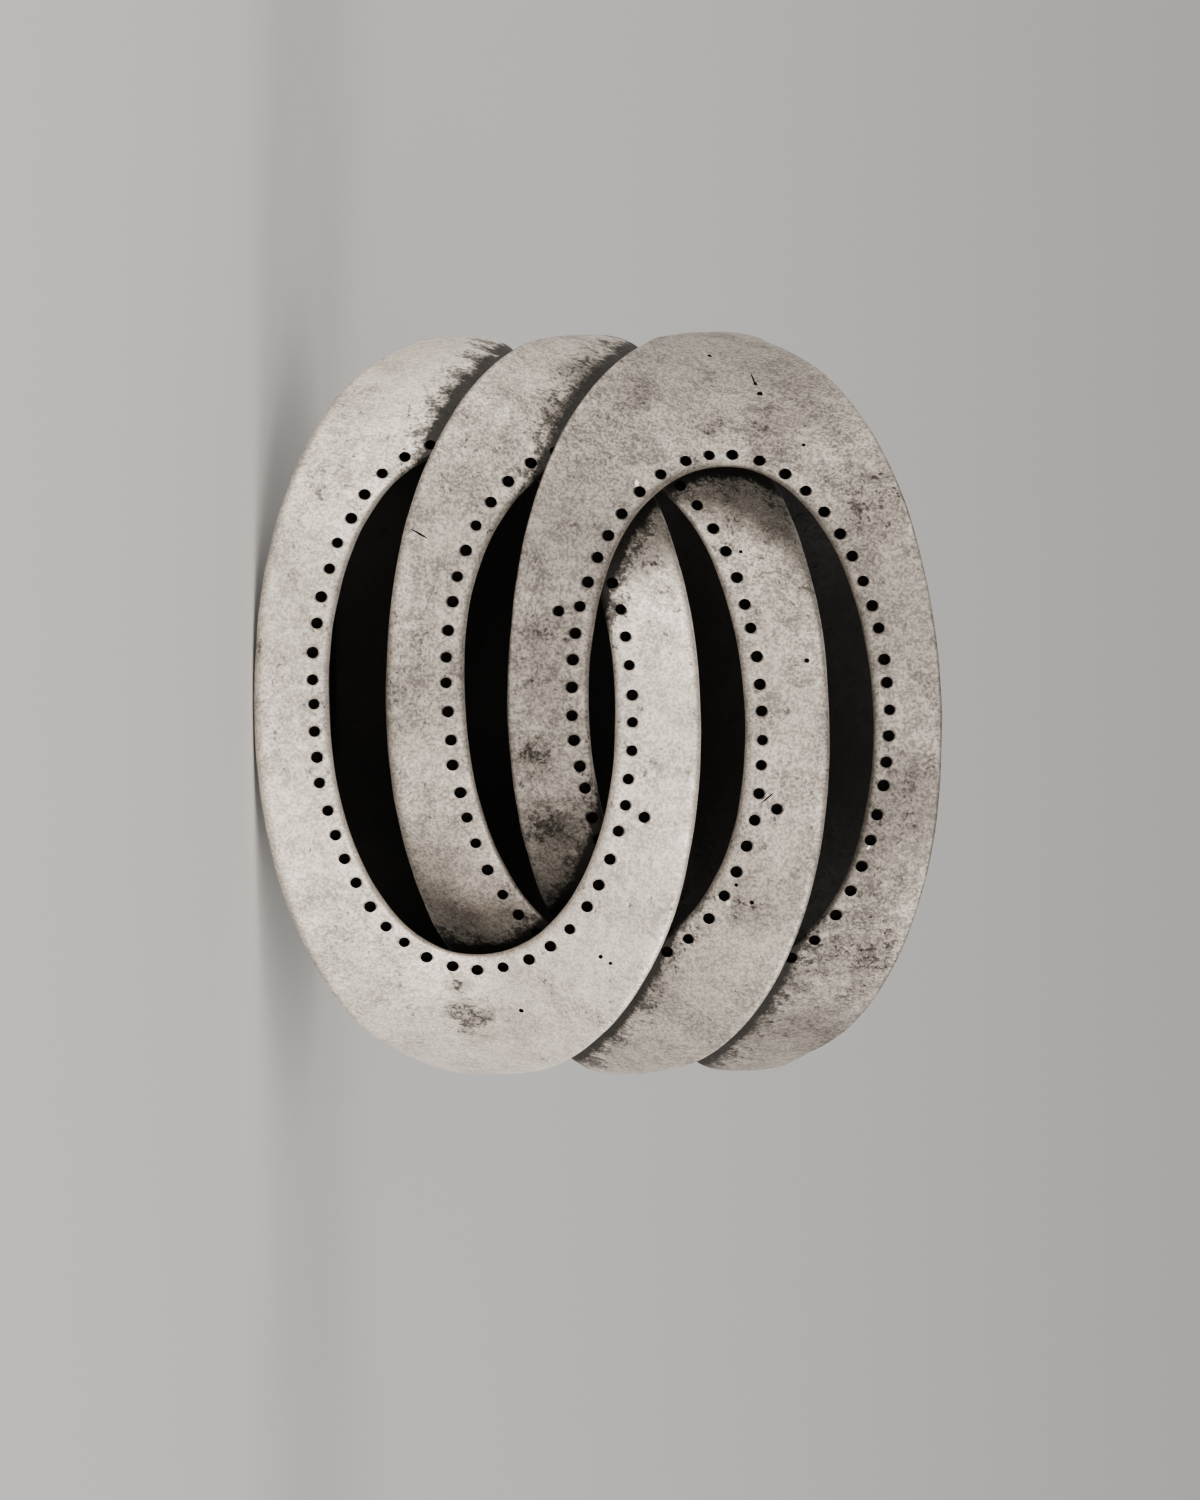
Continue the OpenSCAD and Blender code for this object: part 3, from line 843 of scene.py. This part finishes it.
def measure_wear_and_shade(mesh, others):
    """Measures where painted shadow and patina lie, and which edges get wear with a painted
    highlight (above 0) or painted shade (below 0).

    Both lie beside and under another hoop in front, and in the crevices between the hoops where
    the surface is turned away from the front: the smooth black there is painted shadow, and the
    ragged patina round it is real. Edges facing down and right get painted shade, and the others
    wear lighter with a painted highlight.
    """
    trees = [BVHTree.FromPolygons([v.co / MM for v in other.data.vertices],
                                  [p.vertices for p in other.data.polygons]) for other in others]
    count = len(mesh.vertices)
    shadow_and_oxide_cover, edge_wear_and_light = [0.0] * count, [0.0] * count
    linked = [[] for _ in range(count)]
    for edge in mesh.edges:
        a, b = edge.vertices
        linked[a].append(b)
        linked[b].append(a)
    # the small faces round the holes would count as sharp edges
    at_holes = {i for p in mesh.polygons if mesh.materials[p.material_index] == hole_black
                for i in p.vertices}
    for _ in range(2):
        at_holes |= {j for i in at_holes for j in linked[i]}
    for vert in mesh.vertices:
        n = vert.normal
        ring = [mesh.vertices[i].co for i in linked[vert.index]]
        if ring and vert.index not in at_holes:
            mean = sum(ring, Vector()) / len(ring)
            wide = max((co - vert.co).length for co in ring) + 1e-6
            sharp = max(0.0, -(mean - vert.co).dot(n)) / (wide * wide)
            away = max(0.0, n.dot(SHADED_WAY) - SHADED_FROM)
            edge_wear_and_light[vert.index] = sharp * (RUBBED_AND_LIT - EDGE_SHADE * away)
        facing = ease(n.dot(FRONTWARD), *TURNED_AWAY)
        if facing > 0:
            shadow_and_oxide_cover[vert.index] = facing * front_cover(vert.co, trees)
        if facing < 1:
            nearest = min(tree.find_nearest(vert.co)[3] for tree in trees)
            shadow_and_oxide_cover[vert.index] += (1 - facing) * (1 - ease(nearest, *CREVICE))
    # spread the measured values a little, so that they have no steps
    for label, values, passes in (("shadow_and_oxide_cover", shadow_and_oxide_cover, 3), ("edge_wear_and_light", edge_wear_and_light, 1)):
        for _ in range(passes):
            values = [(values[i] + sum(values[j] for j in near)) / (1 + len(near))
                      for i, near in enumerate(linked)]
        mesh.attributes.new(label, "FLOAT", "POINT").data.foreach_set("value", values)


SHARP_ANGLE = 38       # degrees between two faces past which their edge is shaded sharp


def make_hoop(name, hoop, seed):
    """Makes one whole hoop and gives its object."""
    rng = random.Random(seed)
    bm = flat_plate(hoop)
    roll_up(bm, hoop)
    mesh = finished_mesh(name, bm)
    tree = BVHTree.FromPolygons([v.co for v in mesh.vertices], [p.vertices for p in mesh.polygons])
    cutter = bmesh.new()
    for a, h in row_spots(hoop["hole_row"], rng) + hoop["extra_holes"]:
        spot, normal = seen_spot(tree, *clear_of_eye(hoop, a, h))
        add_bit(cutter, spot, normal, size=rng.uniform(*HOLE_SIZES))
    for a, h, radius in hoop["pits"]:
        spot, normal = seen_spot(tree, a, h)
        add_bit(cutter, spot, normal, size=radius / HOLE_R, deep=PIT_DEPTH)
    for crack in hoop["cracks"]:
        add_crack(cutter, tree, *crack)
    mesh.materials.append(hoop["silver"])
    mesh = drilled(mesh, name, cutter, hoop["silver"])
    measure_wear_and_shade(mesh, [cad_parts[other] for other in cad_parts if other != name])
    mesh.transform(Matrix.Scale(MM, 4))
    mesh.name = name + "_silver"
    for polygon in mesh.polygons:
        polygon.use_smooth = True
    mesh.set_sharp_from_angle(angle=math.radians(SHARP_ANGLE))
    piece = bpy.data.objects.new(name + "_cast", mesh)
    bpy.context.scene.collection.objects.link(piece)
    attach(piece, "root")
    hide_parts(name)
    return piece


# One hoop, in mm and degrees as the front is seen. place is how far its middle lies to the right
# of the ring's, rise how far up, and lean how far its top is tipped to the left. half_w and half_h
# belong to the outline, and the eye has its own half sizes, shift, rise and lean. The free side
# (1 right, -1 left, 0 none) has no neighbour: behind, it spreads to wing from the hoop's middle.
# closer is how far any other side is moved towards its neighbour behind.
# A row of holes follows an oval round the point right, up. It starts on the oval's right, after
# start, and drift is how far the hand strays along it. An extra hole is (right, up), a pit
# (right, up, radius), and a crack (right, up, right, up, width, depth).
left_sizes = {
    "place": -3.71, "rise": 0.05, "lean": 1.9, "half_w": 6.36, "half_h": 10.57,
    "eye_w": 4.07, "eye_h": 7.19, "eye_shift": -0.15, "eye_rise": 0.03, "eye_lean": 0.0,
    "free_side": -1, "wing": 4.4, "closer": 0.36,
    "hole_row": {"right": -3.84, "up": 0.04, "half_w": 4.53, "half_h": 7.60, "lean": 2.50,
                 "power": 2.11, "count": 50, "start": 0.34, "drift": 0.30},
    "extra_holes": [(1.04, -3.17)],
    "pits": [(-2.47, -8.71, 0.07), (-0.20, -7.15, 0.06), (0.08, -7.34, 0.05)],
    "cracks": [(-3.95, 10.35, -3.1, 10.05, 0.07, 0.08)],
    # painted light: the brightest tint; the hoops' tints step darker to the right as if lit from
    # the left
    "silver": silver("left_silver", (0.98, 0.895, 0.80), (0.53, 0.485, 0.44),
                     [(-4.0, -8.9, 1.1, 0.57), (-4.2, -7.9, 0.6, 0.54), (-0.2, -7.4, 0.6, 0.42),
                      (1.2, 4.3, 1.2, 0.46), (0.6, 5.3, 1.0, 0.48), (-4.3, 8.2, 1.1, 0.46),
                      (-3.4, 9.4, 0.9, 0.50), (-9.3, 4.1, 0.5, 0.44), (-9.4, 0.4, 0.4, 0.42),
                      (-8.9, 1.0, 4.0, 0.26), (-7.4, -6.6, 3.4, 0.28), (-7.6, 7.6, 2.6, 0.22)],
                     roughness=0.53),
}
left_hoop = make_hoop("left_hoop", left_sizes, seed=3)

# ---- Middle hoop
# The same casting in silver, a little taller and leaning more. It lies over the left hoop near
# the top and under it near the bottom, and a crack crosses the outer edge of its left strand.
middle_sizes = {
    "place": 0.0, "rise": 0.06, "lean": 2.3, "half_w": 6.30, "half_h": 10.65,
    "eye_w": 3.97, "eye_h": 6.96, "eye_shift": -0.09, "eye_rise": -0.04, "eye_lean": 2.0,
    "free_side": 0, "closer": 0.0,
    "hole_row": {"right": -0.10, "up": 0.03, "half_w": 4.46, "half_h": 7.40, "lean": 4.50,
                 "power": 2.13, "count": 49, "start": 0.24, "drift": 0.0},
    "extra_holes": [(4.81, -2.94)],
    "pits": [(3.80, 4.40, 0.05), (5.67, 1.29, 0.07), (4.10, -5.60, 0.06), (3.66, -5.10, 0.05)],
    "cracks": [(-5.72, 5.10, -5.05, 4.72, 0.07, 0.10), (4.35, -2.78, 4.75, -2.45, 0.05, 0.06)],
    # painted shade: a darker tint than the left hoop's, as if lit from the left
    "silver": silver("middle_silver", (0.70, 0.635, 0.565), (0.31, 0.283, 0.256),
                     [(-5.9, 0.1, 0.35, 0.55), (-1.5, 8.1, 1.1, 0.64), (-0.5, 9.5, 1.1, 0.62),
                      (-2.6, 6.6, 0.7, 0.50), (-4.7, -4.6, 1.5, 0.42), (-3.7, -6.2, 1.4, 0.36),
                      (3.4, 5.4, 1.2, 0.50), (4.6, 5.2, 1.0, 0.42), (4.0, -5.7, 1.2, 0.60),
                      (1.4, -7.6, 1.2, 0.50), (-0.4, -9.4, 1.2, 0.40), (-5.3, 1.0, 3.2, 0.38),
                      (5.1, 3.2, 1.8, 0.34), (-3.7, 7.2, 1.8, 0.34)],
                     roughness=0.54),
}
middle_hoop = make_hoop("middle_hoop", middle_sizes, seed=4)

# ---- Right hoop
# The same casting in silver again, in the darkest tint of the three, which is painted shade as
# if lit from the left. Its top lies over the middle hoop, its bottom is under both others, and
# its shank spreads to the right behind the finger.
right_sizes = {
    "place": 3.33, "rise": 0.13, "lean": 2.0, "half_w": 6.18, "half_h": 10.47,
    "eye_w": 4.03, "eye_h": 7.05, "eye_shift": 0.17, "eye_rise": -0.35, "eye_lean": 0.6,
    "free_side": 1, "wing": 4.65, "closer": 0.0,
    "hole_row": {"right": 3.49, "up": 0.05, "half_w": 4.50, "half_h": 7.08, "lean": 3.36,
                 "power": 2.00, "count": 49, "start": 0.36, "drift": 0.0},
    "extra_holes": [(-1.39, 2.69)],
    "pits": [(4.36, 8.94, 0.08), (4.24, 9.22, 0.05), (2.93, 10.05, 0.06), (5.60, 7.46, 0.05)],
    "cracks": [(4.10, 9.55, 4.26, 9.10, 0.06, 0.08)],
    # painted shade: the darkest tint of the three, as if lit from the left
    "silver": silver("right_silver", (0.50, 0.452, 0.402), (0.215, 0.196, 0.176),
                     # the broad marks at its right side and bottom are painted shade, darker there
                     # as if lit from the left; those on its left strand darken it towards its lower
                     # end; the rest are stains
                     [(0.9, 8.7, 1.0, 0.54), (3.1, 7.9, 0.7, 0.50), (-1.9, 0.6, 1.2, 0.40),
                      (-2.0, -1.6, 1.1, 0.56), (-1.7, -3.6, 1.6, 0.58), (7.2, -4.4, 1.5, 0.48),
                      (5.2, -7.6, 1.2, 0.54), (4.0, -9.2, 1.3, 0.50), (4.9, 8.0, 1.6, 0.38),
                      (-1.9, 1.6, 1.8, 0.42), (7.8, 5.9, 2.0, 0.46), (8.6, -2.9, 2.0, 0.44),
                      (7.3, -7.2, 2.2, 0.48), (5.8, -9.3, 1.6, 0.42)],
                     roughness=0.54),
}
right_hoop = make_hoop("right_hoop", right_sizes, seed=5)
